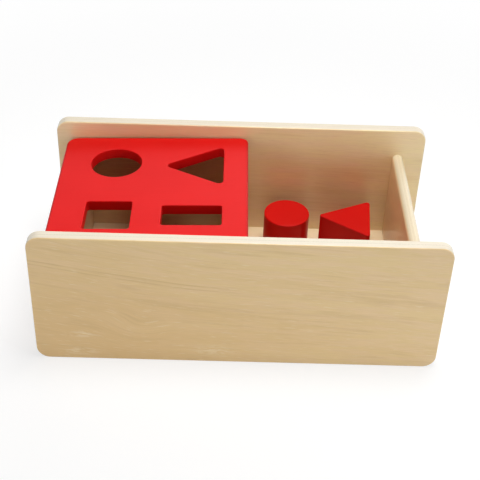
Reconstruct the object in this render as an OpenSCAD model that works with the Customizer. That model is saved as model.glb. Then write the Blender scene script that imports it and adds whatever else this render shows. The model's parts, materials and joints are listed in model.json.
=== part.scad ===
// Shape sorter box with a flip lid. Two bays lie between long plywood panels. A red lid with
// four shaped holes covers one bay and swings over the middle to cover the other, and four
// red blocks are posted through the holes.
// Millimetres: X along the box, Y from front to rear, Z up, origin under the middle of the box.

/* [Side panels] */
// Length of the front and rear panels
panel_length = 320; // [300:1:400]
// Height of the front and rear panels
panel_height = 120.5; // [100:0.5:160]
// Thickness of the panels, the walls and the floor
board = 9.5; // [9:0.5:14]
// Clear width between the panels
inner_width = 156; // [146:1:200]
// Radius of the panels' corners
panel_corner = 10.5; // [4:0.5:20]
// Radius that eases the panels' edges
panel_ease = 1.2; // [0.4:0.1:3]

/* [Floor and walls] */
// Height of the floor board's underside above the table
floor_lift = 3.8; // [1:0.1:10]
// Distance from a panel's end to an end wall's outer face
wall_inset = 17.9; // [12:0.1:25]
// Distance from the panels' top edges down to the tops of the walls
wall_drop = 24; // [20:0.1:35]

/* [Lid] */
// Thickness of the lid
lid_thickness = 9; // [8:0.1:12]
// Gap between the lid and each panel
lid_gap = 1.25; // [0.6:0.05:3]
// Reach of the lid's free edge past the end wall, for the fingers
lid_overhang = 8; // [3:0.1:12]
// Distance from the pivot axis to the lid's edge over the divider
lid_heel = 5.9; // [5:0.1:7]
// Radius of the corners at the lid's free edge
lid_corner = 10; // [4:0.5:20]
// Radius of the corners at the lid's heel
heel_corner = 7; // [3:0.5:12]
// Radius that eases the lid's edges
lid_ease = 1.5; // [0.4:0.1:3]
// Height of the pivot axis above the tops of the walls
pivot_rise = 9; // [8.5:0.1:12]
// Gap between the resting lid and the round top of the end wall
rest_gap = 0.3; // [0.2:0.05:0.6]

/* [Pivot pins] */
// Diameter of the steel pins
pin_diameter = 5; // [3:0.1:6]
// Depth that a pin is driven into its panel
pin_seat = 6.5; // [4:0.1:7]
// Length of a pin inside the lid
pin_reach = 22; // [12:1:40]
// Clearance all round a pin in the lid
pin_play = 0.05; // [0.02:0.01:0.1]

/* [Dowels] */
// Diameter of the wooden dowels
dowel_diameter = 5; // [4:0.5:6]
// Length of a dowel
dowel_length = 20; // [16:1:30]
// Depth that a dowel goes into its panel
dowel_seat = 6; // [4:0.1:7]
// Distance from a board's edge to its first dowel
dowel_margin = 18; // [10:1:25]
// Number of dowels along each side of the floor board
floor_dowel_count = 4; // [2:1:8]
// Glue space at the bottom of a drilled hole
bore_relief = 0.5; // [0.2:0.1:1]

/* [Holes in the lid] */
// Diameter of the round hole
round_hole = 42.2; // [34:0.1:48]
// Side of the square hole
square_hole = 36.5; // [30:0.1:44]
// Length of the rectangular hole
long_hole = 47.6; // [38:0.1:52]
// Width of the rectangular hole
narrow_hole = 26; // [18:0.1:36]
// Side of the triangular hole, between its sharp corners
triangle_hole = 57.8; // [46:0.1:62]
// Radius in the corners of the square and the rectangular hole
hole_corner = 2.2; // [0.5:0.1:4]
// Radius in the corners of the triangular hole
triangle_corner = 3.6; // [0.5:0.1:5]
// Distance between the two columns of holes
hole_columns = 65.8; // [60:0.1:72]
// Distance between the two rows of holes
hole_rows = 74.2; // [66:0.1:84]
// Shift of the hole pattern from the middle of the lid towards the heel
hole_shift = 0.6; // [-4:0.1:4]
// Place of the triangular hole's middle from its column and row
triangle_shift = [7.3, -3.5]; // [-10:0.1:10]

/* [Blocks] */
// Difference between a block and its hole
block_play = 2.7; // [1.5:0.1:4]
// Height of the blocks
block_height = 40; // [30:1:60]
// Radius of the blocks' upright edges
block_corner = 2.4; // [1.8:0.1:4]
// Radius that eases the blocks' rims
block_ease = 1; // [0.4:0.1:1.5]
// Place of the cylinder from the middle of its quarter of the open bay
cylinder_nudge = [4.7, 7.5]; // [-10:0.1:10]
// Place of the triangular block from the middle of its quarter
triangle_nudge = [-1.8, 3.4]; // [-10:0.1:10]
// Place of the square block from the middle of its quarter
square_nudge = [4.2, 2]; // [-10:0.1:10]
// Place of the rectangular block from the middle of its quarter
rectangle_nudge = [-1.2, 1.6]; // [-10:0.1:10]
// Turn of the triangular block, in degrees
triangle_turn = -4.6; // [-30:0.1:30]

/* [Hidden] */

// Round faces are drawn with this many sides
$fn = 96;
// Overrun of a cut past the face that it opens
cut = 1;
front = -1;
rear = 1;
left = -1;
right = 1;
plywood = [0.84, 0.72, 0.54];
ply_pale = [0.90, 0.80, 0.62];
red_lacquer = [0.90, 0.12, 0.12];
beech = [0.82, 0.66, 0.46];
steel = [0.72, 0.73, 0.75];

// Floor and walls
floor_middle = floor_lift + board / 2;
floor_top = floor_lift + board;
wall_top = panel_height - wall_drop;
wall_outer = panel_length / 2 - wall_inset;
wall_middle = wall_outer - board / 2;
wall_inner = wall_outer - board;
wall_round = board / 2;

// Lid: its tilt is the angle at which its underside lies on the round top of an end wall
pivot_z = wall_top + pivot_rise;
lid_width = inner_width - 2 * lid_gap;
lid_reach = wall_outer + lid_overhang;
lid_middle = (lid_heel - lid_reach) / 2;
round_below_pivot = pivot_rise + wall_round;
round_below_lid = lid_thickness / 2 + rest_gap + wall_round;
lid_tilt = acos(round_below_lid / norm([wall_middle, round_below_pivot]))
    - atan2(wall_middle, round_below_pivot);

// Middles of the holes, on the level lid
free_column = lid_middle + hole_shift - hole_columns / 2;
heel_column = lid_middle + hole_shift + hole_columns / 2;
rear_row = hole_rows / 2;
front_row = -hole_rows / 2;

// Middles of the quarters of the open bay, where the blocks stand
bay_start = board / 2;
bay_length = wall_inner - bay_start;
near_quarter = bay_start + bay_length / 4;
far_quarter = bay_start + 3 * bay_length / 4;
rear_quarter = inner_width / 4;
front_quarter = -inner_width / 4;
block_middle = floor_top + block_height / 2;

// Dowel places
wall_dowel_heights = [floor_top + dowel_margin, wall_top - wall_round - dowel_margin];
floor_dowel_reach = wall_outer - dowel_margin;
floor_dowel_step = 2 * floor_dowel_reach / (floor_dowel_count - 1);
floor_dowel_places = [
    for (i = [0 : floor_dowel_count - 1]) i * floor_dowel_step - floor_dowel_reach
];

// Circumradius of an equilateral triangle with the given side, and of one whose sides lie
// a distance inside it
function circumradius(side) = side / sqrt(3);
function inner_circumradius(side, inset) = circumradius(side) - 2 * inset;
function triangle_points(radius) = [for (turn = [60, 180, 300]) radius * [cos(turn), sin(turn)]];

// Outline from the middle of a board out to an edge that is eased on both faces
module half_section(reach, thickness, ease) {
    translate([0, -thickness / 2])
        square([reach - ease, thickness]);
    translate([0, ease - thickness / 2])
        square([reach, thickness - 2 * ease]);
    for (side = [-1, 1])
        translate([reach - ease, side * (thickness / 2 - ease)])
            intersection() {
                circle(ease);
                translate([0, -ease])
                    square([ease, 2 * ease]);
            }
}

// Straight stretch of an eased edge that faces +X, as long as run in Y
module edge_strip(reach, thickness, ease, run) {
    rotate([90, 0, 0])
        linear_extrude(run, center = true)
            half_section(reach, thickness, ease);
}

// Corner of an eased edge, turned about Z from +X through an angle
module edge_corner(reach, thickness, ease, angle) {
    rotate_extrude(angle = angle)
        half_section(reach, thickness, ease);
}

// Flat board from start to end in X and centred in Y and Z, with eased edges. Its corners have
// one radius at the start and another at the end.
module eased_board(start, end, width, thickness, ease, start_corner, end_corner) {
    straight = end - end_corner - start - start_corner;
    for (turn = [90, -90])
        translate([start + start_corner + straight / 2, 0, 0])
            rotate([0, 0, turn])
                edge_strip(width / 2, thickness, ease, straight);
    translate([end - end_corner, 0, 0])
        edge_strip(end_corner, thickness, ease, width - 2 * end_corner);
    translate([start + start_corner, 0, 0])
        rotate([0, 0, 180])
            edge_strip(start_corner, thickness, ease, width - 2 * start_corner);
    for (side = [0, 1]) {
        translate([end - end_corner, (2 * side - 1) * (width / 2 - end_corner), 0])
            rotate([0, 0, 90 * side - 90])
                edge_corner(end_corner, thickness, ease, 90);
        translate([start + start_corner, (2 * side - 1) * (width / 2 - start_corner), 0])
            rotate([0, 0, 180 - 90 * side])
                edge_corner(start_corner, thickness, ease, 90);
    }
}

// Outline of a rectangle with round corners
module rounded_rectangle(length, width, corner) {
    square([length - 2 * corner, width], center = true);
    square([length, width - 2 * corner], center = true);
    for (x = [-1, 1], y = [-1, 1])
        translate([x * (length / 2 - corner), y * (width / 2 - corner)])
            circle(corner);
}

// Outline of an equilateral triangle that points to -X, with round corners. The strip along
// each side starts inside the core, so that no sliver is left between them.
module rounded_triangle(side, corner) {
    radius = inner_circumradius(side, corner);
    run = radius * sqrt(3);
    overlap = corner / 2;
    polygon(triangle_points(radius));
    for (turn = [0, 120, 240])
        rotate(turn)
            translate([radius / 2 - overlap, -run / 2])
                square([overlap + corner, run]);
    for (point = triangle_points(radius))
        translate(point)
            circle(corner);
}

// Hole drilled along Y from a face, towards the front (-1) or the rear (1)
module drilled(x, face, z, diameter, depth, towards) {
    translate([x, face - towards * cut, z])
        rotate([-90 * towards, 0, 0])
            cylinder(h = depth + cut, d = diameter);
}

// Round bar along Y between two places, with chamfered ends
module pin_bar(x, start, end, z, diameter, chamfer) {
    radius = diameter / 2;
    length = end - start;
    translate([x, start, z])
        rotate([-90, 0, 0])
            rotate_extrude()
                polygon([
                    [0, 0], [radius - chamfer, 0], [radius, chamfer],
                    [radius, length - chamfer], [radius - chamfer, length], [0, length]
                ]);
}

// Front or rear panel, drilled on its inner face for the dowels and the pivot pin
module side_panel(side) {
    face = side * inner_width / 2;
    depth = dowel_seat + bore_relief;
    difference() {
        translate([0, face + side * board / 2, panel_height / 2])
            rotate([90, 0, 0])
                eased_board(
                    -panel_length / 2, panel_length / 2, panel_height,
                    board, panel_ease, panel_corner, panel_corner
                );
        for (x = [-wall_middle, 0, wall_middle], z = wall_dowel_heights)
            drilled(x, face, z, dowel_diameter, depth, side);
        for (x = floor_dowel_places)
            drilled(x, face, floor_middle, dowel_diameter, depth, side);
        drilled(0, face, pivot_z, pin_diameter, pin_seat, side);
    }
}

// Wall across the box with a round top, drilled at both ends for its dowels
module cross_wall(x) {
    depth = dowel_length - dowel_seat + bore_relief;
    difference() {
        translate([x, 0, 0])
            rotate([90, 0, 0])
                linear_extrude(inner_width, center = true) {
                    translate([-board / 2, floor_top])
                        square([board, wall_top - wall_round - floor_top]);
                    translate([0, wall_top - wall_round])
                        circle(wall_round);
                }
        for (side = [front, rear], z = wall_dowel_heights)
            drilled(x, side * inner_width / 2, z, dowel_diameter, depth, -side);
    }
}

// One dowel, half hidden in the front (-1) or the rear (1) panel
module dowel(x, z, side) {
    chamfer = 0.6;
    outer = side * (inner_width / 2 + dowel_seat);
    inner = outer - side * dowel_length;
    pin_bar(x, min(outer, inner), max(outer, inner), z, dowel_diameter, chamfer);
}

// The dowels at both ends of a wall
module wall_dowels(x) {
    for (side = [front, rear], z = wall_dowel_heights)
        dowel(x, z, side);
}

// The dowels along one side of the floor board
module floor_dowels(side) {
    for (x = floor_dowel_places)
        dowel(x, floor_middle, side);
}

module floor_board() {
    depth = dowel_length - dowel_seat + bore_relief;
    color(ply_pale)
        difference() {
            translate([-wall_outer, -inner_width / 2, floor_lift])
                cube([2 * wall_outer, inner_width, board]);
            for (side = [front, rear], x = floor_dowel_places)
                drilled(x, side * inner_width / 2, floor_middle, dowel_diameter, depth, -side);
        }
}

// Steel pin, driven into the front (-1) or the rear (1) panel and loose in the lid
module pivot_pin(side) {
    chamfer = 0.5;
    outer = side * (inner_width / 2 + pin_seat);
    inner = side * (lid_width / 2 - pin_reach);
    color(steel)
        pin_bar(0, min(outer, inner), max(outer, inner), pivot_z, pin_diameter, chamfer);
}

// Outlines of the four holes, on the level lid
module lid_holes() {
    translate([free_column, rear_row])
        circle(d = round_hole);
    translate([free_column, front_row])
        rounded_rectangle(square_hole, square_hole, hole_corner);
    translate([heel_column, front_row])
        rounded_rectangle(long_hole, narrow_hole, hole_corner);
    translate([heel_column, rear_row] + triangle_shift)
        rounded_triangle(triangle_hole, triangle_corner);
}

module flip_lid() {
    depth = pin_reach + bore_relief;
    color(red_lacquer)
        translate([0, 0, pivot_z])
            rotate([0, -lid_tilt, 0])
                difference() {
                    eased_board(
                        -lid_reach, lid_heel, lid_width,
                        lid_thickness, lid_ease, lid_corner, heel_corner
                    );
                    linear_extrude(lid_thickness + 2 * cut, center = true)
                        lid_holes();
                    for (side = [front, rear])
                        drilled(0, side * lid_width / 2, 0,
                            pin_diameter + 2 * pin_play, depth, -side);
                }
}

// Places a block on the floor of the open bay
module stand_block(x, y, turn) {
    color(red_lacquer)
        translate([x, y, block_middle])
            rotate([0, 0, turn])
                children();
}

// Upright block with a rectangular outline
module box_block(length, width) {
    eased_board(
        -length / 2, length / 2, width, block_height, block_ease, block_corner, block_corner
    );
}

// Upright block with a triangular outline that points to -X. The strip along each side starts
// inside the core, so that no sliver is left between them.
module prism_block(side) {
    radius = inner_circumradius(side, block_corner);
    run = radius * sqrt(3);
    overlap = block_corner / 2;
    linear_extrude(block_height, center = true)
        polygon(triangle_points(radius));
    for (turn = [0, 120, 240])
        rotate([0, 0, turn]) {
            translate([radius / 2 - overlap, 0, 0])
                edge_strip(overlap + block_corner, block_height, block_ease, run);
            translate([radius / 2, run / 2, 0])
                rotate_extrude()
                    half_section(block_corner, block_height, block_ease);
        }
}

module cylinder_block() {
    stand_block(near_quarter + cylinder_nudge.x, rear_quarter + cylinder_nudge.y, 0)
        rotate_extrude()
            half_section((round_hole - block_play) / 2, block_height, block_ease);
}

module triangle_block() {
    stand_block(far_quarter + triangle_nudge.x, rear_quarter + triangle_nudge.y, triangle_turn)
        prism_block(triangle_hole - block_play * sqrt(3));
}

module square_block() {
    side = square_hole - block_play;
    stand_block(near_quarter + square_nudge.x, front_quarter + square_nudge.y, 0)
        box_block(side, side);
}

module rectangle_block() {
    stand_block(far_quarter + rectangle_nudge.x, front_quarter + rectangle_nudge.y, 0)
        box_block(long_hole - block_play, narrow_hole - block_play);
}

module front_panel() { color(plywood) side_panel(front); }
module rear_panel() { color(plywood) side_panel(rear); }
module left_end_wall() { color(ply_pale) cross_wall(left * wall_middle); }
module right_end_wall() { color(ply_pale) cross_wall(right * wall_middle); }
module centre_divider() { color(ply_pale) cross_wall(0); }
module left_wall_dowels() { color(beech) wall_dowels(left * wall_middle); }
module right_wall_dowels() { color(beech) wall_dowels(right * wall_middle); }
module divider_dowels() { color(beech) wall_dowels(0); }
module floor_front_dowels() { color(beech) floor_dowels(front); }
module floor_rear_dowels() { color(beech) floor_dowels(rear); }
module front_pivot_pin() { pivot_pin(front); }
module rear_pivot_pin() { pivot_pin(rear); }

front_panel();
rear_panel();
floor_board();
left_end_wall();
right_end_wall();
centre_divider();
left_wall_dowels();
right_wall_dowels();
divider_dowels();
floor_front_dowels();
floor_rear_dowels();
front_pivot_pin();
rear_pivot_pin();
flip_lid();
cylinder_block();
triangle_block();
square_block();
rectangle_block();
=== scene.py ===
"""Looks of the shape sorter box: lacquered plywood boards, a red flip lid and red blocks.

The panels, floor, dowels and pins are the frame's own solids with new finishes. The cross walls,
the lid and the blocks are surfaces worked out here. Sizes are in millimetres, and become metres
when a mesh is made. Only the floor and the lamps of the studio are given in metres.
"""

import json
import math

import bpy
import numpy as np
from mathutils import Matrix, Vector


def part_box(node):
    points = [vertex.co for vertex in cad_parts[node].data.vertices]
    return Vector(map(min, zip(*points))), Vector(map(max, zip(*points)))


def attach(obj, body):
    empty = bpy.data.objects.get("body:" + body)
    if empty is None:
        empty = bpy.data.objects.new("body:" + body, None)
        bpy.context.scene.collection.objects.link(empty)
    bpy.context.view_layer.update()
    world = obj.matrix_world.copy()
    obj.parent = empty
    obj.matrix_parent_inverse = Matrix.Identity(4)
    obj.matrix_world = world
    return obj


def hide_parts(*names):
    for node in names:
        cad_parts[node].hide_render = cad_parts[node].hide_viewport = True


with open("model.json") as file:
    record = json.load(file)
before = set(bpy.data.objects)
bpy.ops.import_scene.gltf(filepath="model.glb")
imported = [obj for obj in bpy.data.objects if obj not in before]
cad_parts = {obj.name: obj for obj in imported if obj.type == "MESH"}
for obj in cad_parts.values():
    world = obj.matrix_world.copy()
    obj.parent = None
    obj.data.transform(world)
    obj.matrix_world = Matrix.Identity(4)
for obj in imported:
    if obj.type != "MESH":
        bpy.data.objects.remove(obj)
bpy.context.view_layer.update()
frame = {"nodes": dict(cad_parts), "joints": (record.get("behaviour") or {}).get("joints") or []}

MM = 0.001
FRONT, REAR = -1, 1

# Lid, on its own level plane: x from the pivot axis, y to the rear, height from mid-thickness
LID_THICKNESS = 9.0
LID_REACH = 150.1
LID_HEEL = 5.9
LID_HALF_WIDTH = 76.75
LID_CORNER = 10.0
HEEL_CORNER = 7.0
LID_EASE = 1.5
REST_GAP = 0.3
BORE_RADIUS = 2.55
BORE_DEPTH = 22.5
BORE_PATCH = 3.6

# Holes in the lid
ROUND_HOLE = 42.2
SQUARE_HOLE = 36.5
LONG_HOLE = 47.6
NARROW_HOLE = 26.0
TRIANGLE_HOLE = 57.8
HOLE_CORNER = 2.2
TRIANGLE_CORNER = 3.6
HOLE_EASE = 0.6
HOLE_COLUMNS = 65.8
HOLE_ROWS = 74.2
HOLE_SHIFT = 0.6
TRIANGLE_SHIFT = (7.3, -3.5)

# Blocks
BLOCK_PLAY = 2.7
BLOCK_CORNER = 2.4
BLOCK_EASE = 1.0
TRIANGLE_TURN = math.radians(-4.6)

# Cross walls: the eased ends leave a fine seam against the panels
WALL_EASE = 0.3
WALL_FOOT = 0.8

# Fineness of the surfaces
STEP = 0.9
EASE_STEPS = 7
CORNER_STEPS = 9
ARC_STEPS = 36
ROUND_STEPS = 144
FACE_STEPS = 7
WALL_STEPS = 4
PATCH_STEPS = 4
HALVINGS = 40
JOIN_DECIMALS = 4
TINY = 1e-9

# Plywood: depth of the face veneer and the blur where it ends, number of plies, and gloss of the lacquer
VENEER = 0.75
VENEER_BLUR = 0.08
PLIES = 7
SATIN = 0.6
MATT = 0.1

# Side of a board, along the axis that goes through it, whose face has the darker patch: heartwood on the
# front panel, painted shade on the rear panel, floor and right wall
LOW_FACE, HIGH_FACE = -1.0, 1.0

# Marks in the wood and its lacquer: length along the grain, width across it, detail and seed
DRIFT = (130.0, 46.0, 1.0, 0.0)
LINE_BREAKS = (34.0, 9.0, 2.0, 17.0)
RINGS = (380.0, 10.0, 2.0, 2.0)
RING_BREAKS = (46.0, 13.0, 1.0, 6.0)
BROAD_BANDS = (150.0, 20.0, 2.0, 5.0)
CLOUDS = (42.0, 7.0, 2.0, 21.0)
FIBRES = (15.0, 0.9, 2.0, 9.0)
FLECKS = (13.0, 1.1, 1.0, 14.0)
GLINTS = (15.0, 2.6, 1.0, 31.0)
# Breaks in the painted sheen flakes on the front panel
SHEEN_FLAKE_BREAKS = (9.0, 1.8, 2.0, 41.0)
PLY_SWAY = (40.0, 40.0, 1.0, 3.0)
PLY_PORES = (0.9, 0.5, 2.0, 7.0)
PLY_FIBRES = (24.0, 0.5, 2.0, 11.0)
LACQUER_GRAIN = (45.0, 1.4, 2.0, 4.0)

# Bend of the grain: where it lies along the board, how soft it is, and the heights between which it grows
BEND_PLACE = -33.0
BEND_SOFTNESS = 20.0
BEND_HEIGHTS = (-50.0, 5.0)

# Reaches of the grain's dip, along and across the board
DIP_REACHES = (24.0, 17.0)

# Pair of growth lines: half their distance, their width, and where they fade along the board
PAIR_HALF = 1.7
PAIR_WIDTH = 1.1
PAIR_FADE = (-60.0, 60.0)

# Clusters of pale flakes on the front panel, a painted sheen: middle along and across the board, and two
# reaches
SHEEN_FLAKE_CLUSTERS = [(-122.0, -34.0, 11.0, 3.0), (-125.0, -52.0, 13.0, 3.6), (-19.0, -48.0, 14.0, 5.0)]

# Darker patch: strength, middle along and across the board, and two reaches. On the front panel it is
# heartwood; on the rear panel's inner face and the floor under the lid it is painted shade, and on the right
# wall's inner face it is painted shade in its low rear corner
NO_HEART = (0.0, 0.0, 0.0, 50.0, 50.0)
FRONT_HEART = (1.0, -120.0, -55.0, 190.0, 75.0)
REAR_PAINTED_SHADE = (1.0, -74.0, -5.0, 60.0, 64.0)
FLOOR_PAINTED_SHADE = (0.9, -85.0, 0.0, 70.0, 110.0)
RIGHT_WALL_PAINTED_SHADE = (0.7, 45.0, -45.0, 60.0, 34.0)

# Tones of each face veneer. The last tone is heartwood on the front panel, and painted shade on the rear
# panel, floor and right wall
HONEY_VENEER = {
    "Pale": (0.885, 0.66, 0.33, 1), "Tan": (0.755, 0.50, 0.22, 1),
    "Line": (0.66, 0.43, 0.19, 1), "Fleck": (0.93, 0.76, 0.48, 1),
    "Blush": (0.895, 0.655, 0.365, 1), "Heartwood And Painted Shade": (0.785, 0.53, 0.235, 1),
}
SOFT_VENEER = {
    "Pale": (0.875, 0.725, 0.41, 1), "Tan": (0.79, 0.60, 0.30, 1),
    "Line": (0.74, 0.55, 0.28, 1), "Fleck": (0.74, 0.56, 0.31, 1),
    "Blush": (0.865, 0.69, 0.42, 1), "Heartwood And Painted Shade": (0.42, 0.155, 0.08, 1),
}
PALE_VENEER = {
    "Pale": (0.93, 0.785, 0.505, 1), "Tan": (0.85, 0.675, 0.40, 1),
    "Line": (0.80, 0.615, 0.36, 1), "Fleck": (0.84, 0.67, 0.40, 1),
    "Blush": (0.92, 0.77, 0.52, 1), "Heartwood And Painted Shade": (0.56, 0.28, 0.12, 1),
}
# Brown, darker copy of the plywood for the left wall and divider under the lid: painted shade
SHADED_BROWN_VENEER = {
    "Pale": (0.72, 0.47, 0.25, 1), "Tan": (0.63, 0.385, 0.19, 1),
    "Line": (0.58, 0.35, 0.17, 1), "Fleck": (0.76, 0.52, 0.30, 1),
    "Blush": (0.72, 0.46, 0.26, 1), "Heartwood And Painted Shade": (0.55, 0.32, 0.16, 1),
}
TAWNY_VENEER = {
    "Pale": (0.90, 0.69, 0.39, 1), "Tan": (0.81, 0.58, 0.31, 1),
    "Line": (0.76, 0.53, 0.28, 1), "Fleck": (0.90, 0.73, 0.45, 1),
    "Blush": (0.89, 0.67, 0.39, 1), "Heartwood And Painted Shade": (0.65, 0.43, 0.2, 1),
}
BEECH = {
    "Pale": (0.72, 0.5, 0.3, 1), "Tan": (0.6, 0.38, 0.2, 1),
    "Line": (0.5, 0.3, 0.15, 1), "Fleck": (0.4, 0.22, 0.1, 1),
    "Blush": (0.7, 0.48, 0.3, 1), "Heartwood And Painted Shade": (0.55, 0.35, 0.2, 1),
}

# Tones of the plies on each board's edges
CREAM_PLIES = {
    "Long Grain": (0.80, 0.73, 0.59, 1), "End Grain": (0.64, 0.56, 0.42, 1),
    "Glue": (0.55, 0.42, 0.25, 1),
}
STRAW_PLIES = {
    "Long Grain": (0.76, 0.68, 0.54, 1), "End Grain": (0.62, 0.53, 0.38, 1),
    "Glue": (0.53, 0.4, 0.23, 1),
}
YELLOW_PLIES = {
    "Long Grain": (0.84, 0.73, 0.52, 1), "End Grain": (0.68, 0.56, 0.36, 1),
    "Glue": (0.5, 0.36, 0.19, 1),
}

# Lacquer: its reds, and how deep the Ends tone at both ends along one axis is full and where it is gone. On
# the lid the Ends tone is painted shade on its left and right edges
LID_REDS = {
    "Full": (0.70, 0.005, 0.005, 1), "Thin": (0.73, 0.007, 0.007, 1),
    "Ends": (0.50, 0.004, 0.004, 1),
}
# Blocks: a darker copy of the lid's red, painted shade for blocks deep in the box; Full and Thin on the sides
# are darker than Ends on the top and bottom, painted shade on the sides
BLOCK_SHADED_REDS = {
    "Full": (0.51, 0.004, 0.003, 1), "Thin": (0.535, 0.005, 0.004, 1),
    "Ends": (0.645, 0.006, 0.005, 1),
}
LID_END_SHADE = (0.6, 2.6)
BLOCK_ENDS = (0.3, 1.0)

# Scale of the lacquer's orange peel, and of its slow changes of tone
PEEL_SCALE = 0.55
CLOUD_SCALE = 0.03

# Steel of the pins: its tones, and its drawn lines as marks whose width is an angle round the pin
STEEL_DARK = (0.52, 0.53, 0.55, 1)
STEEL_BRIGHT = (0.66, 0.67, 0.69, 1)
STEEL_LINES = (12.0, 0.03, 2.0, 0.0)

# Floor, in metres: half its size and where its shadow fades out, with its tone, glow and bounce as levels
FLOOR_REACH = 6.0
SHADOW_FADE = (0.25, 0.7)
FLOOR_TONE = 0.34
FLOOR_GLOW = 0.71
FLOOR_BOUNCE = 0.92

# Light of the room: its strength, its loss at the sides, and the backdrop's share on the left and right
WALL_LIGHT = 2.47
SIDE_FADE = 0.85
REAR_LEFT, REAR_RIGHT = 0.2, 1.7

# Walls of the room, on a sphere of one unit: their tops, and the headings between which they change
FRONT_TOP, REAR_TOP = 0.28, 0.58
TOP_BLUR = 0.1
FRONT_TO_REAR = (-0.3, 0.3)
LEFT_TO_RIGHT = (-0.3, 0.2)
BACKDROP_START = (0.0, 0.4)

# Lamps: place and target in metres, length of a side, and power
TOP_LIGHT = ((0.085, -0.03, 0.85), (0.04, 0, 0.1), 0.36, 4.7)
CEILING_LIGHT = ((0.0, 0.0, 1.3), (0.0, 0, 0.1), 1.0, 1.8)

# Camera, found from the box's own corners
CAMERA_PLACE = (-10.419, -711.892, 599.357)
CAMERA_YAW = 0.01553
CAMERA_PITCH = -0.65081
CAMERA_ROLL = 0.03675
LENS = 79.973
SENSOR = 36.0


# Shapes worked out as whole arrays


def quads(rings, around, closed, flip):
    """Four-sided faces between neighbouring rings of a grid, joined up round the rings if closed."""
    count = around if closed else around - 1
    ring, place = np.meshgrid(np.arange(rings - 1), np.arange(count), indexing="ij")
    after = (place + 1) % around
    corners = [ring * around + place, ring * around + after]
    corners += [(ring + 1) * around + after, (ring + 1) * around + place]
    faces = np.stack(corners, -1).reshape(-1, 4)
    return faces[:, ::-1] if flip else faces


def grid_part(points, normals, closed, flip, keep=None):
    """One grid of points and normals as flat arrays with its faces. Keep picks the faces that stay."""
    rings, around = points.shape[:2]
    faces = quads(rings, around, closed, flip)
    if keep is not None:
        faces = faces[keep.reshape(-1)]
    return points.reshape(-1, 3), normals.reshape(-1, 3), faces


def cap_part(ring, normal, flip):
    """Flat face that closes a ring."""
    face = np.arange(len(ring))[None]
    return ring, np.tile(normal, (len(ring), 1)), face[:, ::-1] if flip else face


def make_piece(name, parts, finish, body):
    """Joins parts into one mesh: points that fall together become one, and faces keep their normals."""
    starts = np.cumsum([0] + [len(points) for points, _, _ in parts])
    points = np.concatenate([points for points, _, _ in parts])
    normals = np.concatenate([normals for _, normals, _ in parts])
    grids = [faces + start for start, (_, _, faces) in zip(starts, parts)]
    # Adding nothing turns minus zero into zero
    places = np.round(points, JOIN_DECIMALS) + 0.0
    _, first, joined = np.unique(places, axis=0, return_index=True, return_inverse=True)
    joined = joined.reshape(-1)
    faces = [face for grid in grids for face in joined[grid].tolist()]
    corner_normals = np.concatenate([normals[grid].reshape(-1, 3) for grid in grids])
    mesh = bpy.data.meshes.new(name)
    mesh.from_pydata((points[first] * MM).tolist(), [], faces)
    mesh.polygons.foreach_set("use_smooth", np.ones(len(faces), bool))
    mesh.normals_split_custom_set(corner_normals.tolist())
    mesh.materials.append(finish)
    piece = bpy.data.objects.new(name, mesh)
    bpy.context.scene.collection.objects.link(piece)
    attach(piece, body)
    return piece


def rounded(core, radius, steps):
    """Outline that keeps one distance from a convex core, with its outward normals.

    At each core point the normal turns evenly from the last side's direction to the next side's, and
    the outline lies a radius away along it. The straight sides lie between these arcs. A core of one
    point gives a circle.
    """
    side = np.roll(core, -1, 0) - core
    facing = np.arctan2(side[:, 1], side[:, 0]) - math.pi / 2
    before = np.roll(facing, 1)
    sweep = (facing - before) % (2 * math.pi)
    share = np.linspace(0, 1, steps)
    if len(core) == 1:
        sweep = np.array([2 * math.pi])
        share = np.arange(steps) / steps
    angle = before[:, None] + sweep[:, None] * share
    normals = np.stack([np.cos(angle), np.sin(angle)], -1)
    points = core[:, None] + radius * normals
    return points.reshape(-1, 2), normals.reshape(-1, 2)


def eased_profile(half, ease):
    """Edge section from the upper face over a quarter circle, down, and round to the lower face.

    Columns: distance out from where the face ends, height, and the normal's outward and upward shares.
    """
    bend = np.linspace(0, math.pi / 2, EASE_STEPS)
    out, height = ease * np.sin(bend), half - ease * (1 - np.cos(bend))
    upper = np.stack([out, height, np.sin(bend), np.cos(bend)], -1)
    lower = upper[::-1] * [1, -1, 1, -1]
    level = np.linspace(half - ease, ease - half, WALL_STEPS)[1:-1]
    wall = np.stack([np.full_like(level, ease), level, np.ones_like(level), np.zeros_like(level)], -1)
    return np.concatenate([upper, wall, lower])


def carried(path, outward, profile):
    """Profile carried along a flat path: each point moves out along its normal, and up by the profile."""
    out, height, sideways, upward = (column[:, None, None] for column in profile.T)
    level = np.zeros((len(profile), len(path), 1))
    points = np.concatenate([path + out * outward, level + height], -1)
    normals = np.concatenate([sideways * outward, level + upward], -1)
    return points, normals


# Core of a circle: its middle alone
CIRCLE_CORE = np.zeros((1, 2))


def box_core(length, width, corner):
    """Corners of a rectangle that lies one corner radius inside the given one, anticlockwise."""
    x, y = length / 2 - corner, width / 2 - corner
    return np.array([[x, y], [-x, y], [-x, -y], [x, -y]])


def triangle_core(side, corner):
    """Corners of an equilateral triangle that points to -x, one corner radius inside the given one."""
    turn = np.radians([60, 180, 300])
    reach = side / math.sqrt(3) - 2 * corner
    return reach * np.stack([np.cos(turn), np.sin(turn)], -1)


def node_box(node):
    """Lowest and highest corner of a node's solid."""
    return (np.array(corner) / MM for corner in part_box(node))


# Lid


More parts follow.
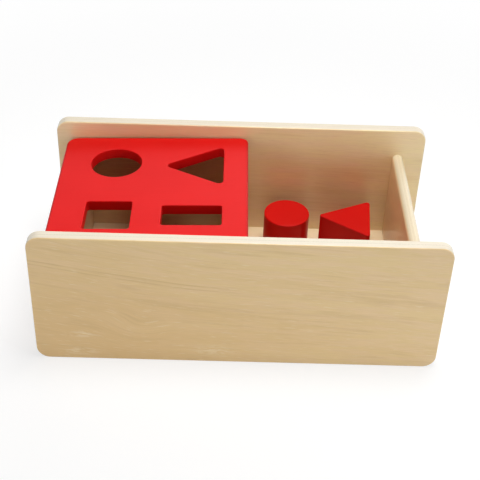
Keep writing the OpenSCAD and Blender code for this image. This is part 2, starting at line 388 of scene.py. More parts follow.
def core_distance(core, points):
    """Distance from each point to a convex core, and the core's nearest point. Inside it is none."""
    side = np.roll(core, -1, 0) - core
    offset = points[:, None] - core
    length = np.maximum((side**2).sum(-1), TINY)
    share = np.clip((offset * side).sum(-1) / length, 0, 1)
    nearest = core + share[..., None] * side
    gap = np.linalg.norm(points[:, None] - nearest, axis=-1)
    best = gap.argmin(1)
    row = np.arange(len(points))
    turn = side[:, 0] * offset[..., 1] - side[:, 1] * offset[..., 0]
    inside = (turn > 0).all(1)
    return np.where(inside, 0, gap[row, best]), nearest[row, best]


def hole_rim(core, radius, middle, towards):
    """Where straight lines from the middle of a hole to the given points cross the hole's outline.

    The outline keeps one distance from the core, so halving an interval along each line finds it.
    """
    heading = towards - middle
    near = np.zeros(len(towards))
    far = np.ones(len(towards))
    for _ in range(HALVINGS):
        half = (near + far) / 2
        gap, _ = core_distance(core, middle + half[:, None] * heading)
        near = np.where(gap < radius, half, near)
        far = np.where(gap < radius, far, half)
    rim = middle + far[:, None] * heading
    _, nearest = core_distance(core, rim)
    return rim, (rim - nearest) / radius


def stretch(start, end):
    """Evenly spaced points from start up to, and not including, end."""
    start, end = np.array(start), np.array(end)
    count = max(2, round(np.linalg.norm(end - start) / STEP))
    return start + np.arange(count)[:, None] / count * (end - start)


def quarter_border(end, corner, side, cut):
    """Border of the flat face on a quarter of the lid, which starts where the two cuts cross.

    It runs along the middle cut to the end edge, round the corner to the side edge, and back along
    the other cut. Also gives the outward normals, and which points lie on the lid's own edge.
    """
    out = math.copysign(1, end - cut)
    edge = end - out * LID_EASE
    flank = side * (LID_HALF_WIDTH - LID_EASE)
    centre = np.array([end - out * corner, side * (LID_HALF_WIDTH - corner)])
    turn = np.linspace(0, math.pi / 2, ARC_STEPS)[:-1, None]
    facing = np.concatenate([out * np.cos(turn), side * np.sin(turn)], 1)
    stretches = [
        stretch((cut, 0), (edge, 0)),
        stretch((edge, 0), (edge, centre[1])),
        centre + (corner - LID_EASE) * facing,
        stretch((centre[0], flank), (cut, flank)),
        stretch((cut, flank), (cut, 0)),
    ]
    headings = [(0, 0), (out, 0), facing, (0, side), (0, 0)]
    normals = np.concatenate([np.zeros_like(s) + heading for s, heading in zip(stretches, headings)])
    own = np.repeat([False, True, True, True, False], [len(s) for s in stretches])
    # The point where the side edge meets the other cut belongs to both
    shared = len(own) - len(stretches[-1])
    own[shared] = True
    normals[shared] = (0, side)
    return np.concatenate(stretches), normals, own


def flank_place(x):
    """Distance of the lid's side edge from its middle, at x: straight, then round the heel's corner."""
    past = np.maximum(x - (LID_HEEL - HEEL_CORNER), 0)
    return LID_HALF_WIDTH - HEEL_CORNER + np.sqrt(HEEL_CORNER**2 - past**2)


def flank_normal(x, side):
    """Outward normal of the side edge at x, with no upward share."""
    past = np.maximum(x - (LID_HEEL - HEEL_CORNER), 0) / HEEL_CORNER
    return np.stack([past, side * np.sqrt(1 - past**2), np.zeros_like(x)], -1)


def pivot_bore(border, side, flip):
    """Side edge round a pivot bore, and the bore itself.

    Straight lines run from the border of a patch on the edge to the bore's mouth. From there the bore
    goes in along y to its flat end.
    """
    flat = border[:, [0, 2]]
    heading = flat / np.linalg.norm(flat, axis=1, keepdims=True)
    share = np.linspace(0, 1, PATCH_STEPS)[:, None, None]
    place = flat + share * (BORE_RADIUS * heading - flat)
    x = place[..., 0]
    patch = np.stack([x, side * flank_place(x), place[..., 1]], -1)
    mouth = patch[-1]
    end = mouth * [1, 0, 1] + [0, side * (LID_HALF_WIDTH - BORE_DEPTH), 0]
    wall_normals = np.stack([-heading[:, 0], np.zeros(len(heading)), -heading[:, 1]], -1)
    return [
        grid_part(patch, flank_normal(x, side), True, flip),
        grid_part(np.stack([mouth, end]), np.stack([wall_normals] * 2), True, flip),
        cap_part(end, (0, side, 0), flip),
    ]


def lid_quarter(end, corner, side, cut, hole):
    """Parts of one quarter of the lid, with the hole that it holds.

    Both faces are fans of straight lines from the quarter's border to the hole's rim. The rim and the
    lid's own edge are profiles carried along the hole's outline and along the border. At the heel a
    patch of the edge is left out for the pivot bore.
    """
    core, radius, middle = hole
    border, outward, own = quarter_border(end, corner, side, cut)
    flip = (end - cut) * side < 0
    half = LID_THICKNESS / 2
    rim, facing = hole_rim(core, radius, middle, border)
    lip = rim + HOLE_EASE * facing
    share = np.linspace(0, 1, FACE_STEPS)[:, None, None]
    face = border + share * (lip - border)
    level = np.full(face.shape[:2] + (1,), half)
    up = np.zeros(face.shape[:2] + (3,)) + (0, 0, 1)
    upper = np.concatenate([face, level], -1)
    lower = np.concatenate([face, -level], -1)
    hole_wall, hole_normals = carried(lip, -facing, eased_profile(half, HOLE_EASE))
    parts = [
        grid_part(upper, up, True, flip),
        grid_part(lower, -up, True, not flip),
        grid_part(hole_wall, hole_normals, True, flip),
    ]
    edge, edge_normals = carried(border[own], outward[own], eased_profile(half, LID_EASE))
    keep = np.ones((edge.shape[0] - 1, edge.shape[1] - 1), bool)
    if end == LID_HEEL:
        top, bottom = EASE_STEPS - 1, EASE_STEPS + WALL_STEPS - 2
        x, y, _ = edge[top].T
        near_pin = (np.abs(x) < BORE_PATCH) & (y * side > LID_HALF_WIDTH / 2)
        first, last = np.flatnonzero(near_pin)[[0, -1]]
        keep[top:bottom, first:last] = False
        loop = np.concatenate([
            edge[top, first:last],
            edge[top:bottom, last],
            edge[bottom, last:first:-1],
            edge[bottom:top:-1, first],
        ])
        parts += pivot_bore(loop, side, not flip)
    parts.append(grid_part(edge, edge_normals, False, not flip, keep))
    return parts


def lid_parts():
    """The four quarters of the lid, each round its own hole."""
    middle = (LID_HEEL - LID_REACH) / 2 + HOLE_SHIFT
    free_x, heel_x = middle - HOLE_COLUMNS / 2, middle + HOLE_COLUMNS / 2
    row = HOLE_ROWS / 2
    square = box_core(SQUARE_HOLE, SQUARE_HOLE, HOLE_CORNER)
    oblong = box_core(LONG_HOLE, NARROW_HOLE, HOLE_CORNER)
    pointed = triangle_core(TRIANGLE_HOLE, TRIANGLE_CORNER)
    pointed_place = np.array([heel_x, row]) + TRIANGLE_SHIFT
    parts = []
    for end, corner, side, core, radius, place in [
        (-LID_REACH, LID_CORNER, REAR, CIRCLE_CORE, ROUND_HOLE / 2, (free_x, row)),
        (-LID_REACH, LID_CORNER, FRONT, square, HOLE_CORNER, (free_x, -row)),
        (LID_HEEL, HEEL_CORNER, FRONT, oblong, HOLE_CORNER, (heel_x, -row)),
        (LID_HEEL, HEEL_CORNER, REAR, pointed, TRIANGLE_CORNER, pointed_place),
    ]:
        place = np.array(place)
        parts += lid_quarter(end, corner, side, middle, (core + place, radius, place))
    return parts


def lid_tilt(pivot):
    """Angle at which the lid's underside lies over the round top of the left end wall."""
    low, high = node_box("left_end_wall")
    round_top = (high[0] - low[0]) / 2
    reach = -(low[0] + high[0]) / 2
    below = pivot[2] - (high[2] - round_top)
    lift = LID_THICKNESS / 2 + REST_GAP + round_top
    return math.acos(lift / math.hypot(reach, below)) - math.atan2(reach, below)


def tilted(parts, tilt, pivot):
    """Parts turned about the pivot axis, so that the free end sinks by the tilt."""
    turn = np.array([
        [math.cos(tilt), 0, -math.sin(tilt)],
        [0, 1, 0],
        [math.sin(tilt), 0, math.cos(tilt)],
    ])
    return [(points @ turn.T + pivot, normals @ turn.T, faces) for points, normals, faces in parts]


# Blocks


def block_parts(node, core, radius, steps, turn):
    """Upright block in place of a solid: an eased profile carried round its outline, and two flat ends."""
    low, high = node_box(node)
    outline, outward = rounded(core, radius, steps)
    twist = np.array([[math.cos(turn), math.sin(turn)], [-math.sin(turn), math.cos(turn)]])
    outline, outward = outline @ twist, outward @ twist
    outline = outline + (low + high)[:2] / 2 - (outline.min(0) + outline.max(0)) / 2
    profile = eased_profile((high[2] - low[2]) / 2, BLOCK_EASE)
    points, normals = carried(outline - BLOCK_EASE * outward, outward, profile)
    points = points + [0, 0, (low[2] + high[2]) / 2]
    return [
        grid_part(points, normals, True, True),
        cap_part(points[0], (0, 0, 1), False),
        cap_part(points[-1], (0, 0, -1), True),
    ]


# Cross walls


def wall_parts(node):
    """Cross wall in place of a solid: an eased profile carried round the wall's outline, along y.

    The outline is a half circle over two upright sides, with a small round at each side of the foot.
    Each arc's normal turns evenly, and its points lie one radius from the arc's middle.
    """
    low, high = node_box(node)
    half = (high[0] - low[0]) / 2
    top = np.linspace(0, math.pi, ARC_STEPS)
    foot = np.linspace(math.pi, 1.5 * math.pi, CORNER_STEPS)
    angle = np.concatenate([top, foot, foot + math.pi / 2])
    counts = [len(top), len(foot), len(foot)]
    inset = half - WALL_FOOT
    middles = [(0, high[2] - half), (-inset, low[2] + WALL_FOOT), (inset, low[2] + WALL_FOOT)]
    radius = np.repeat([half, WALL_FOOT, WALL_FOOT], counts)[:, None]
    outward = np.stack([np.cos(angle), np.sin(angle)], -1)
    outline = np.repeat(middles, counts, 0) + (radius - WALL_EASE) * outward
    points, normals = carried(outline, outward, eased_profile((high[1] - low[1]) / 2, WALL_EASE))
    points = points[..., [0, 2, 1]] + [(low[0] + high[0]) / 2, (low[1] + high[1]) / 2, 0]
    normals = normals[..., [0, 2, 1]]
    return [
        grid_part(points, normals, True, False),
        cap_part(points[0], (0, 1, 0), True),
        cap_part(points[-1], (0, -1, 0), False),
    ]


# Node helpers


def put(tree, kind, values=None, **settings):
    """Adds a node, sets its properties, and fills or links its inputs."""
    made = tree.nodes.new(kind)
    for key, value in settings.items():
        setattr(made, key, value)
    for key, value in (values or {}).items():
        if isinstance(value, bpy.types.NodeSocket):
            tree.links.new(value, made.inputs[key])
        else:
            made.inputs[key].default_value = value
    return made


def calc(tree, operation, *values, clamp=False):
    """Result of a math node."""
    inputs = dict(enumerate(values))
    return put(tree, "ShaderNodeMath", inputs, operation=operation, use_clamp=clamp).outputs[0]


def between(tree, share, first, second):
    """Value between two values."""
    return put(tree, "ShaderNodeMix", {0: share, 2: first, 3: second}).outputs[0]


def blend(tree, share, first, second, mode="MIX"):
    """Colour between two colours."""
    values = {0: share, 6: first, 7: second}
    return put(tree, "ShaderNodeMix", values, data_type="RGBA", blend_type=mode).outputs[2]


def grey(level):
    """Neutral colour of one level."""
    return (level, level, level, 1)


def ramp(tree, value, low, high, start=0.0, end=1.0):
    """Smooth step of a value from one range to another."""
    values = {0: value, 1: low, 2: high, 3: start, 4: end}
    return put(tree, "ShaderNodeMapRange", values, interpolation_type="SMOOTHSTEP").outputs[0]


def noise(tree, place, scale, detail, roughness=0.5):
    """Noise at a place."""
    values = {"Vector": place, "Scale": scale, "Detail": detail, "Roughness": roughness}
    return put(tree, "ShaderNodeTexNoise", values).outputs["Fac"]


def streaks(tree, along, across, long, wide, detail, seed):
    """Noise with marks of one length along the grain and one width across it, in millimetres."""
    shares = {0: calc(tree, "DIVIDE", along, long), 1: calc(tree, "DIVIDE", across, wide), 2: seed}
    place = put(tree, "ShaderNodeCombineXYZ", shares).outputs[0]
    return noise(tree, place, 1.0, detail, 0.6)


def spot(tree, along, across, middle_along, middle_across, long, wide):
    """Soft patch: e to the power of minus the squared distance, in shares of the patch's two reaches."""
    first = calc(tree, "DIVIDE", calc(tree, "SUBTRACT", along, middle_along), long)
    second = calc(tree, "DIVIDE", calc(tree, "SUBTRACT", across, middle_across), wide)
    square = calc(tree, "MULTIPLY_ADD", second, second, calc(tree, "MULTIPLY", first, first))
    return calc(tree, "EXPONENT", calc(tree, "MULTIPLY", square, -1.0))


def own_place(tree, middle):
    """Object coordinates in millimetres from a middle point, one socket for each axis."""
    place = put(tree, "ShaderNodeTexCoord").outputs["Object"]
    scale = 1 / MM
    values = {
        "Vector": place,
        "Location": [-value for value in middle],
        "Scale": (scale, scale, scale),
    }
    moved = put(tree, "ShaderNodeMapping", values, vector_type="POINT").outputs[0]
    return put(tree, "ShaderNodeSeparateXYZ", {0: moved}).outputs


def finish_group(name, values, colours):
    """New node group with its inner ends. It puts out a colour, a height and a roughness."""
    tree = bpy.data.node_groups.new(name, "ShaderNodeTree")
    sockets = [("INPUT", label, "Float") for label in values]
    sockets += [("INPUT", label, "Color") for label in colours]
    sockets += [("OUTPUT", "Color", "Color"), ("OUTPUT", "Height", "Float"), ("OUTPUT", "Roughness", "Float")]
    for direction, label, kind in sockets:
        tree.interface.new_socket(label, in_out=direction, socket_type="NodeSocket" + kind)
    return tree, tree.nodes.new("NodeGroupInput").outputs, tree.nodes.new("NodeGroupOutput").inputs


def place_group(tree, group, values):
    """A node group set in a material."""
    return put(tree, "ShaderNodeGroup", values, node_tree=group).outputs


def socket_name(label):
    """Name of a socket from an argument's: coat_weight is Coat Weight, and ior is IOR."""
    return label.replace("_", " ").title().replace("Ior", "IOR")


def new_finish(name, **constants):
    """New material with its Principled shader, whose plain values are set on its own sockets."""
    made = bpy.data.materials.new(name)
    made.use_nodes = True
    shader = made.node_tree.nodes["Principled BSDF"]
    for label, value in constants.items():
        shader.inputs[socket_name(label)].default_value = value
    return made, made.node_tree, shader.inputs


def link_finish(tree, sockets, colour, roughness, height, strength, depth):
    """Links a finish to its shader. The height becomes a fine relief, whose depth is in millimetres."""
    relief = {"Strength": strength, "Distance": depth * MM, "Height": height}
    tree.links.new(colour, sockets["Base Color"])
    tree.links.new(roughness, sockets["Roughness"])
    tree.links.new(put(tree, "ShaderNodeBump", relief).outputs[0], sockets["Normal"])


# Finishes


def grain_flow(tree, given):
    """Distance across the grain, as the grain runs, and the mask of its dip.

    The grain slants evenly and wanders with a slow noise. Before its bend it falls away along a
    hyperbola, more so higher up, and it dips once at a soft patch.
    """
    along, across = given["Along"], given["Across"]
    drift = calc(tree, "SUBTRACT", streaks(tree, along, across, *DRIFT), 0.5)
    flow = calc(tree, "MULTIPLY_ADD", drift, given["Wander"], across)
    flow = calc(tree, "MULTIPLY_ADD", along, given["Slant"], flow)
    past = calc(tree, "SUBTRACT", along, BEND_PLACE)
    turn = calc(tree, "SQRT", calc(tree, "MULTIPLY_ADD", past, past, BEND_SOFTNESS**2))
    fall = calc(tree, "MULTIPLY", calc(tree, "SUBTRACT", past, turn), 0.5)
    fall = calc(tree, "MULTIPLY", fall, ramp(tree, across, *BEND_HEIGHTS, 0.2, 1.0))
    flow = calc(tree, "MULTIPLY_ADD", fall, given["Bend"], flow)
    dip = spot(tree, along, across, given["Dip Along"], given["Dip Across"], *DIP_REACHES)
    return calc(tree, "MULTIPLY_ADD", dip, given["Dip"], flow), dip


def growth_lines(tree, given, flow, dip):
    """Mask of the growth lines: one bold pair, and faint rings where a slow noise crosses its middle.

    Both are broken by other noise, and the rings show most at the dip.
    """
    along = given["Along"]
    pair = calc(tree, "ABSOLUTE", calc(tree, "SUBTRACT", flow, given["Growth Across"]))
    pair = calc(tree, "ABSOLUTE", calc(tree, "SUBTRACT", pair, PAIR_HALF))
    pair = ramp(tree, pair, 0.0, PAIR_WIDTH, 1.0, 0.0)
    pair = calc(tree, "MULTIPLY", pair, ramp(tree, along, *PAIR_FADE, 1.0, 0.3))
    broken = ramp(tree, streaks(tree, along, flow, *LINE_BREAKS), 0.36, 0.6, 0.3, 1.0)
    pair = calc(tree, "MULTIPLY", calc(tree, "MULTIPLY", pair, broken), given["Growth Line"])
    rings = calc(tree, "SUBTRACT", streaks(tree, along, flow, *RINGS), 0.5)
    rings = ramp(tree, calc(tree, "ABSOLUTE", rings), 0.0, 0.04, 1.0, 0.0)
    seen = ramp(tree, streaks(tree, along, flow, *RING_BREAKS), 0.42, 0.62)
    seen = calc(tree, "MAXIMUM", seen, calc(tree, "MULTIPLY", dip, 1.4))
    rings = calc(tree, "MULTIPLY", calc(tree, "MULTIPLY", rings, seen), 0.4)
    return calc(tree, "MAXIMUM", rings, pair)


def pale_flecks(tree, given, flow):
    """Mask of the short flecks and glints in the veneer, and of clusters of pale flakes that are a painted
    sheen.
    """
    along, across = given["Along"], given["Across"]
    fleck = ramp(tree, streaks(tree, along, flow, *FLECKS), 0.6, 0.74)
    glint = ramp(tree, streaks(tree, along, flow, *GLINTS), 0.68, 0.8)
    fleck = calc(tree, "MULTIPLY", calc(tree, "MAXIMUM", fleck, glint), given["Figure"])
    # Painted sheen: pale flakes at the listed clusters, broken by noise
    sheen_breaks = ramp(tree, streaks(tree, along, flow, *SHEEN_FLAKE_BREAKS), 0.4, 0.6)
    flakes = 0.0
    for cluster in SHEEN_FLAKE_CLUSTERS:
        flakes = calc(tree, "ADD", flakes, spot(tree, along, across, *cluster))
    flakes = calc(tree, "MULTIPLY", calc(tree, "MULTIPLY", flakes, sheen_breaks), given["Flake"])
    return calc(tree, "MAXIMUM", fleck, flakes)


def veneer_group():
    """Face veneer: bands, fibres, lines and flecks that follow one flow, with a darker patch: heartwood on
    the front panel, painted shade on other boards.
    """
    tree, given, result = finish_group(
        "face_veneer",
        [
            "Along", "Across", "Slant", "Bend", "Wander", "Growth Line", "Growth Across",
            "Dip", "Dip Along", "Dip Across", "Figure", "Flake",
            "Heart", "Heart Along", "Heart Across", "Heart Long", "Heart Wide",
        ],
        ["Pale", "Tan", "Line", "Fleck", "Blush", "Heartwood And Painted Shade"],
    )
    along = given["Along"]
    flow, dip = grain_flow(tree, given)
    broad = streaks(tree, along, flow, *BROAD_BANDS)
    cloud = streaks(tree, along, flow, *CLOUDS)
    fibre = streaks(tree, along, flow, *FIBRES)
    tone = calc(tree, "MULTIPLY", ramp(tree, broad, 0.3, 0.8, 0.0, 0.5), given["Figure"])
    colour = blend(tree, tone, given["Pale"], given["Tan"])
    colour = blend(tree, ramp(tree, cloud, 0.38, 0.66), colour, given["Blush"])
    # Darker patch: heartwood on the front panel, painted shade on the rear panel, floor and right wall
    patch = [given["Heart " + label] for label in ("Along", "Across", "Long", "Wide")]
    heart_and_shade = calc(tree, "MULTIPLY", spot(tree, along, flow, *patch), given["Heart"])
    heart_and_shade = calc(tree, "MULTIPLY", heart_and_shade, ramp(tree, broad, 0.25, 0.6, 0.75, 1.0))
    colour = blend(tree, heart_and_shade, colour, given["Heartwood And Painted Shade"])
    lines = calc(tree, "MULTIPLY", growth_lines(tree, given, flow, dip), given["Figure"])
    colour = blend(tree, lines, colour, given["Line"])
    light = calc(tree, "MULTIPLY_ADD", calc(tree, "MULTIPLY", fibre, given["Figure"]), 0.2, 0.9)
    shade = put(tree, "ShaderNodeCombineColor", {0: light, 1: light, 2: light}).outputs[0]
    colour = blend(tree, 1.0, colour, shade, "MULTIPLY")
    fleck = calc(tree, "MULTIPLY", pale_flecks(tree, given, flow), 0.5)
    colour = blend(tree, fleck, colour, given["Fleck"])
    tree.links.new(colour, result["Color"])
    tree.links.new(calc(tree, "SUBTRACT", fibre, fleck), result["Height"])
    tree.links.new(calc(tree, "MULTIPLY_ADD", fibre, 0.12, 0.38), result["Roughness"])
    return tree


def ply_group():
    """Sanded plywood edge: crossed plies of even thickness, with thin glue lines between them."""
    tree, given, result = finish_group(
        "ply_edge",
        ["Along", "Across", "Depth", "Thickness"],
        ["Long Grain", "End Grain", "Glue"],
    )
    along, across = given["Along"], given["Across"]
    sway = calc(tree, "SUBTRACT", streaks(tree, along, across, *PLY_SWAY), 0.5)
    depth = calc(tree, "MULTIPLY_ADD", sway, 0.35, given["Depth"])
    share = calc(tree, "ADD", calc(tree, "DIVIDE", depth, given["Thickness"]), 0.5)
    layer = calc(tree, "MULTIPLY", share, float(PLIES))
    crossed = ramp(tree, calc(tree, "FRACT", calc(tree, "MULTIPLY", layer, 0.5)), 0.47, 0.53)
    seam = calc(tree, "ABSOLUTE", calc(tree, "SUBTRACT", calc(tree, "FRACT", layer), 0.5))
    seam = ramp(tree, seam, 0.42, 0.5)
    run = calc(tree, "ADD", along, across)
    pores = streaks(tree, run, depth, *PLY_PORES)
    fibre = streaks(tree, run, depth, *PLY_FIBRES)
    end_tone = blend(tree, ramp(tree, pores, 0.3, 0.75), given["End Grain"], given["Long Grain"])
    long_tone = blend(tree, calc(tree, "MULTIPLY", fibre, 0.5), given["Long Grain"], given["End Grain"])
    core = ramp(tree, calc(tree, "ABSOLUTE", depth), 0.6, 1.5, 1.0, 0.35)
    colour = blend(tree, calc(tree, "MULTIPLY", crossed, core), long_tone, end_tone)
    colour = blend(tree, calc(tree, "MULTIPLY", seam, 0.3), colour, given["Glue"])
    tree.links.new(colour, result["Color"])
    tree.links.new(calc(tree, "SUBTRACT", pores, seam), result["Height"])
    tree.links.new(calc(tree, "MULTIPLY_ADD", pores, 0.15, 0.42), result["Roughness"])
    return tree


def lacquer_group():
    """Opaque lacquer: a fine orange peel, slow changes of tone, and the wood's grain showing faintly."""
    tree, given, result = finish_group(
        "lacquer_skin", ["Along", "Across", "Up", "End"], ["Full", "Thin", "Ends"]
    )
    axes = {0: given["Along"], 1: given["Across"], 2: given["Up"]}
    place = put(tree, "ShaderNodeCombineXYZ", axes).outputs[0]
    peel = noise(tree, place, PEEL_SCALE, 2.0)
    cloud = noise(tree, place, CLOUD_SCALE, 2.0)
    grain = streaks(tree, given["Along"], given["Across"], *LACQUER_GRAIN)
    tone = calc(tree, "MULTIPLY_ADD", grain, 0.35, calc(tree, "MULTIPLY", cloud, 0.65))
    colour = blend(tree, ramp(tree, tone, 0.3, 0.7), given["Full"], given["Thin"])
    # Painted shading: the Ends tone where the End mask is one
    colour = blend(tree, given["End"], colour, given["Ends"])
    tree.links.new(colour, result["Color"])
    tree.links.new(calc(tree, "MULTIPLY_ADD", grain, 0.5, peel), result["Height"])
    tree.links.new(calc(tree, "MULTIPLY_ADD", cloud, 0.12, 0.3), result["Roughness"])
    return tree


VENEER_FACE = veneer_group()
PLY_EDGE = ply_group()
LACQUER_SKIN = lacquer_group()


def veneer_figure(tones, slant, wander, strength, heart_and_shade=NO_HEART, **marks):
    """Values of one board's own figure: its tones, how its grain runs, its darker patch of heartwood on the
    front panel and painted shade on other boards, and its marks.
    """
    labels = ["Slant", "Wander", "Figure", "Heart", "Heart Along", "Heart Across", "Heart Long", "Heart Wide"]
    values = dict(zip(labels, [slant, wander, strength, *heart_and_shade]))
    named_marks = {socket_name(label): value for label, value in marks.items()}
    return {**values, **named_marks, **tones}


def plywood(name, node, along, across, through, figure, edge, patch_side, gloss):
    """Plywood board: veneer on its faces, plies on its edges, and a clear lacquer over both.

    Only the face on the patch's side has the darker patch: heartwood on the front panel, painted shade on the
    rear panel, floor and right wall.
    """
    low, high = node_box(node)
    thickness = (high - low)["XYZ".index(through)]
    made, tree, sockets = new_finish(name, coat_weight=gloss, coat_roughness=0.18, ior=1.45)
    axis = own_place(tree, (low + high) / 2)
    side = ramp(tree, calc(tree, "MULTIPLY", axis[through], patch_side), -0.5, 0.5)
    heart_and_shade = calc(tree, "MULTIPLY", side, figure["Heart"])
    place = {"Along": axis[along], "Across": axis[across]}
    veneer = place_group(tree, VENEER_FACE, {**place, **figure, "Heart": heart_and_shade})
    plies = place_group(tree, PLY_EDGE, {**place, "Depth": axis[through], "Thickness": thickness, **edge})
    seam = thickness / 2 - VENEER
    depth = calc(tree, "ABSOLUTE", axis[through])
    skin = ramp(tree, depth, seam - VENEER_BLUR, seam + VENEER_BLUR)
    colour = blend(tree, skin, plies["Color"], veneer["Color"])
    roughness = between(tree, skin, plies["Roughness"], veneer["Roughness"])
    height = between(tree, skin, plies["Height"], veneer["Height"])
    link_finish(tree, sockets, colour, roughness, height, strength=0.25, depth=0.12)
    return made


def board_ends(tree, along, low, high, skin, fade):
    """One at both ends of a board, to the depth of the skin. Farther in it fades to none."""
    first = ramp(tree, along, low + skin, low + fade, 1.0, 0.0)
    last = ramp(tree, along, high - fade, high - skin)
    return calc(tree, "MAXIMUM", first, last)


def red_lacquer(name, node, grain, reds, skin, fade):
    """Red lacquer on wood, satin to gloss. Near both ends along the grain axis the red takes the Ends tone:
    painted shade on the lid's left and right edges, and on the blocks a lighter top and bottom against sides
    in painted shade.
    """
    low, high = (corner["XYZ".index(grain)] for corner in node_box(node))
    made, tree, sockets = new_finish(name, specular_ior_level=0.12)
    axis = own_place(tree, (0, 0, 0))
    # Mask of the painted shading at both ends along the axis
    end = board_ends(tree, axis[grain], low, high, skin, fade)
    place = {"Along": axis["X"], "Across": axis["Y"], "Up": axis["Z"], "End": end}
    coat = place_group(tree, LACQUER_SKIN, {**place, **reds})
    link_finish(tree, sockets, coat["Color"], coat["Roughness"], coat["Height"], strength=0.12, depth=0.08)
    return made


def bare_beech(name):
    """Turned beech: the veneer's grain, run along each dowel."""
    made, tree, sockets = new_finish(name, ior=1.45)
    axis = own_place(tree, (0, 0, 0))
    across = calc(tree, "ADD", axis["X"], axis["Z"])
    figure = veneer_figure(BEECH, slant=0.0, wander=2.0, strength=1.0)
    wood = place_group(tree, VENEER_FACE, {"Along": axis["Y"], "Across": across, **figure})
    link_finish(tree, sockets, wood["Color"], wood["Roughness"], wood["Height"], strength=0.3, depth=0.1)
    return made


def drawn_steel(name):
    """Steel wire drawn along its length: fine lines that change the gloss."""
    made, tree, sockets = new_finish(name, metallic=1.0)
    axis = own_place(tree, (0, 0, 0))
    across = calc(tree, "ARCTAN2", axis["X"], axis["Z"])
    lines = streaks(tree, axis["Y"], across, *STEEL_LINES)
    colour = blend(tree, lines, STEEL_DARK, STEEL_BRIGHT)
    roughness = calc(tree, "MULTIPLY_ADD", lines, 0.2, 0.22)
    link_finish(tree, sockets, colour, roughness, lines, strength=0.2, depth=0.03)
    return made


# Pieces

front_figure = veneer_figure(
    HONEY_VENEER, slant=0.06, wander=5.0, strength=0.7, heart_and_shade=FRONT_HEART,
    bend=0.12, growth_line=0.8, growth_across=13.0, flake=1.3,
    dip=10.0, dip_along=-78.0, dip_across=-28.0,
)
# The rear panel's and floor's darker patches lie under the lid: painted shade
rear_figure = veneer_figure(SOFT_VENEER, slant=0.02, wander=12.0, strength=0.85, heart_and_shade=REAR_PAINTED_SHADE)
floor_figure = veneer_figure(PALE_VENEER, slant=-0.03, wander=12.0, strength=0.7, heart_and_shade=FLOOR_PAINTED_SHADE)
# The left wall and divider take the darker brown veneer: painted shade
left_figure = veneer_figure(SHADED_BROWN_VENEER, slant=0.03, wander=10.0, strength=0.8)
# The right wall's darker patch, low at the rear of its inner face: painted shade in the corner
right_figure = veneer_figure(TAWNY_VENEER, slant=-0.04, wander=10.0, strength=0.8, heart_and_shade=RIGHT_WALL_PAINTED_SHADE)
divider_figure = veneer_figure(SHADED_BROWN_VENEER, slant=0.02, wander=8.0, strength=0.8)

for node, along, across, through, figure, edge, patch_side, gloss in [
    ("front_panel", "X", "Z", "Y", front_figure, CREAM_PLIES, LOW_FACE, SATIN),
    ("rear_panel", "X", "Z", "Y", rear_figure, STRAW_PLIES, LOW_FACE, SATIN),
    ("floor_board", "X", "Y", "Z", floor_figure, STRAW_PLIES, HIGH_FACE, MATT),
]:
    board = plywood("plywood_" + node, node, along, across, through, figure, edge, patch_side, gloss)
    frame["nodes"][node].data.materials[0] = board

for node, figure, patch_side in [
    ("left_end_wall", left_figure, HIGH_FACE),
    ("right_end_wall", right_figure, LOW_FACE),
    ("centre_divider", divider_figure, HIGH_FACE),
]:
    board = plywood("plywood_" + node, node, "Y", "Z", "X", figure, YELLOW_PLIES, patch_side, SATIN)
    wall = make_piece(node + "_board", wall_parts(node), board, "box")
    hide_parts(node)

beech = bare_beech("turned_beech")
for place in ("left_wall", "right_wall", "divider", "floor_front", "floor_rear"):
    frame["nodes"][place + "_dowels"].data.materials[0] = beech

steel = drawn_steel("drawn_steel")
for place in ("front", "rear"):
    frame["nodes"][place + "_pivot_pin"].data.materials[0] = steel

# The lid is darker red at its left and right ends: painted shade on those edges
lid_lacquer = red_lacquer("lid_lacquer", "flip_lid", "X", LID_REDS, *LID_END_SHADE)
pivot = np.array(next(j["pos_m"] for j in frame["joints"] if j["name"] == "lid_flip")) / MM
lid_surface = tilted(lid_parts(), lid_tilt(pivot), pivot)
lid = make_piece("lid_board", lid_surface, lid_lacquer, "lid")
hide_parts("flip_lid")

# Blocks: darker red than the lid's, and darker sides than tops: painted shade
block_lacquer = red_lacquer("block_lacquer", "cylinder_block", "Z", BLOCK_SHADED_REDS, *BLOCK_ENDS)
pointed = triangle_core(TRIANGLE_HOLE - BLOCK_PLAY * math.sqrt(3), BLOCK_CORNER)
square = box_core(SQUARE_HOLE - BLOCK_PLAY, SQUARE_HOLE - BLOCK_PLAY, BLOCK_CORNER)
oblong = box_core(LONG_HOLE - BLOCK_PLAY, NARROW_HOLE - BLOCK_PLAY, BLOCK_CORNER)
for name, core, radius, steps, turn in [
    ("cylinder", CIRCLE_CORE, (ROUND_HOLE - BLOCK_PLAY) / 2, ROUND_STEPS, 0.0),
    ("triangle", pointed, BLOCK_CORNER, CORNER_STEPS, TRIANGLE_TURN),
    ("square", square, BLOCK_CORNER, CORNER_STEPS, 0.0),
    ("rectangle", oblong, BLOCK_CORNER, CORNER_STEPS, 0.0),
]:
    surface = block_parts(name + "_block", core, radius, steps, turn)
    block = make_piece(name, surface, block_lacquer, name)
    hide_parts(name + "_block")


# Floor, light and camera


def seen_rays(tree):
    """One for rays from the camera, a reflection or a pane, and none for the light's own rays."""
    rays = put(tree, "ShaderNodeLightPath").outputs
    mirrored = calc(tree, "ADD", rays["Is Glossy Ray"], rays["Is Transmission Ray"])
    return calc(tree, "ADD", rays["Is Camera Ray"], mirrored, clamp=True)


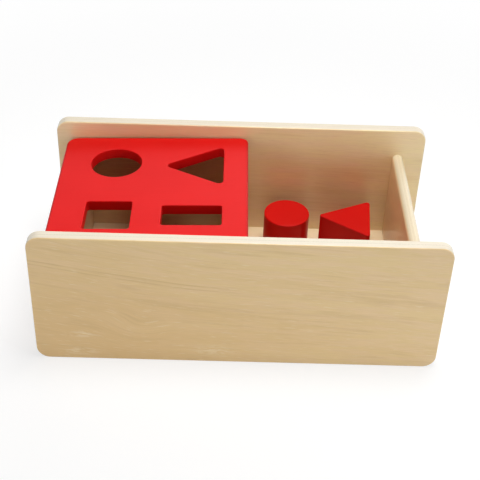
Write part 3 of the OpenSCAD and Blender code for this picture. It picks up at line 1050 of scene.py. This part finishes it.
def white_floor():
    """Pale floor that keeps a soft shadow under the box, and shows plain white farther off."""
    corners = np.array([(-1, -1, 0), (1, -1, 0), (1, 1, 0), (-1, 1, 0)]) * FLOOR_REACH
    mesh = bpy.data.meshes.new("floor")
    mesh.from_pydata(corners.tolist(), [], [(0, 1, 2, 3)])
    floor = bpy.data.objects.new("floor", mesh)
    bpy.context.scene.collection.objects.link(floor)
    made = bpy.data.materials.new("white_floor")
    made.use_nodes = True
    tree = made.node_tree
    tree.nodes.clear()
    seen = seen_rays(tree)
    place = put(tree, "ShaderNodeTexCoord").outputs["Object"]
    reach = put(tree, "ShaderNodeVectorMath", {0: place}, operation="LENGTH").outputs["Value"]
    near_white = blend(tree, ramp(tree, reach, *SHADOW_FADE), grey(FLOOR_TONE), grey(0))
    shade = blend(tree, seen, grey(FLOOR_BOUNCE), near_white)
    matt = put(tree, "ShaderNodeBsdfDiffuse", {"Color": shade}).outputs[0]
    strength = calc(tree, "MULTIPLY", seen, ramp(tree, reach, *SHADOW_FADE, FLOOR_GLOW, 1.0))
    glow = put(tree, "ShaderNodeEmission", {"Color": grey(1), "Strength": strength}).outputs[0]
    total = put(tree, "ShaderNodeAddShader", {0: matt, 1: glow}).outputs[0]
    put(tree, "ShaderNodeOutputMaterial", {"Surface": total})
    mesh.materials.append(made)


def white_room():
    """Light from a low white wall in front and a taller backdrop behind, both seen as plain white.

    The light fades out softly above their tops, and towards the sides with the square of the
    heading's x. The backdrop is dimmer on its left and brighter on its right.
    """
    world = bpy.data.worlds.new("studio")
    bpy.context.scene.world = world
    world.use_nodes = True
    tree = world.node_tree
    tree.nodes.clear()
    heading = put(tree, "ShaderNodeTexCoord").outputs["Generated"]
    axes = put(tree, "ShaderNodeSeparateXYZ", {0: heading}).outputs
    top = ramp(tree, axes["Y"], *FRONT_TO_REAR, FRONT_TOP, REAR_TOP)
    fade_start = calc(tree, "SUBTRACT", top, TOP_BLUR)
    fade_end = calc(tree, "ADD", top, TOP_BLUR)
    level = ramp(tree, axes["Z"], fade_start, fade_end, WALL_LIGHT, 0.0)
    sideways = calc(tree, "MULTIPLY", calc(tree, "MULTIPLY", axes["X"], axes["X"]), SIDE_FADE)
    level = calc(tree, "MULTIPLY", level, calc(tree, "SUBTRACT", 1.0, sideways))
    shift = ramp(tree, axes["X"], *LEFT_TO_RIGHT, REAR_LEFT - 1.0, REAR_RIGHT - 1.0)
    behind = ramp(tree, axes["Y"], *BACKDROP_START)
    level = calc(tree, "MULTIPLY", level, calc(tree, "MULTIPLY_ADD", shift, behind, 1.0))
    strength = between(tree, seen_rays(tree), level, 1.0)
    light = put(tree, "ShaderNodeBackground", {"Color": grey(1), "Strength": strength}).outputs[0]
    put(tree, "ShaderNodeOutputWorld", {"Surface": light})


def softbox(name, place, target, size, power):
    """Square area lamp that faces a point."""
    lamp = bpy.data.lights.new(name, "AREA")
    lamp.shape = "SQUARE"
    lamp.size = size
    lamp.energy = power
    holder = bpy.data.objects.new(name, lamp)
    holder.location = place
    holder.rotation_euler = (Vector(target) - Vector(place)).to_track_quat("-Z", "Y").to_euler()
    holder.visible_camera = False
    bpy.context.scene.collection.objects.link(holder)


def photo_camera():
    """Camera at the measured place, turned by yaw, pitch and roll."""
    forward = Vector((
        math.sin(CAMERA_YAW) * math.cos(CAMERA_PITCH),
        math.cos(CAMERA_YAW) * math.cos(CAMERA_PITCH),
        math.sin(CAMERA_PITCH),
    ))
    right = Vector((math.cos(CAMERA_YAW), -math.sin(CAMERA_YAW), 0))
    up = right.cross(forward)
    across = right * math.cos(CAMERA_ROLL) + up * math.sin(CAMERA_ROLL)
    upward = up * math.cos(CAMERA_ROLL) - right * math.sin(CAMERA_ROLL)
    lens = bpy.data.cameras.new("camera")
    lens.lens = LENS
    lens.sensor_width = SENSOR
    camera = bpy.data.objects.new("camera", lens)
    bpy.context.scene.collection.objects.link(camera)
    turn = Matrix((across, upward, -forward)).transposed().to_4x4()
    camera.matrix_world = Matrix.Translation(Vector(CAMERA_PLACE) * MM) @ turn
    bpy.context.scene.camera = camera


white_floor()
white_room()
softbox("top_light", *TOP_LIGHT)
softbox("ceiling_light", *CEILING_LIGHT)
photo_camera()
bpy.context.scene.view_settings.view_transform = "Standard"
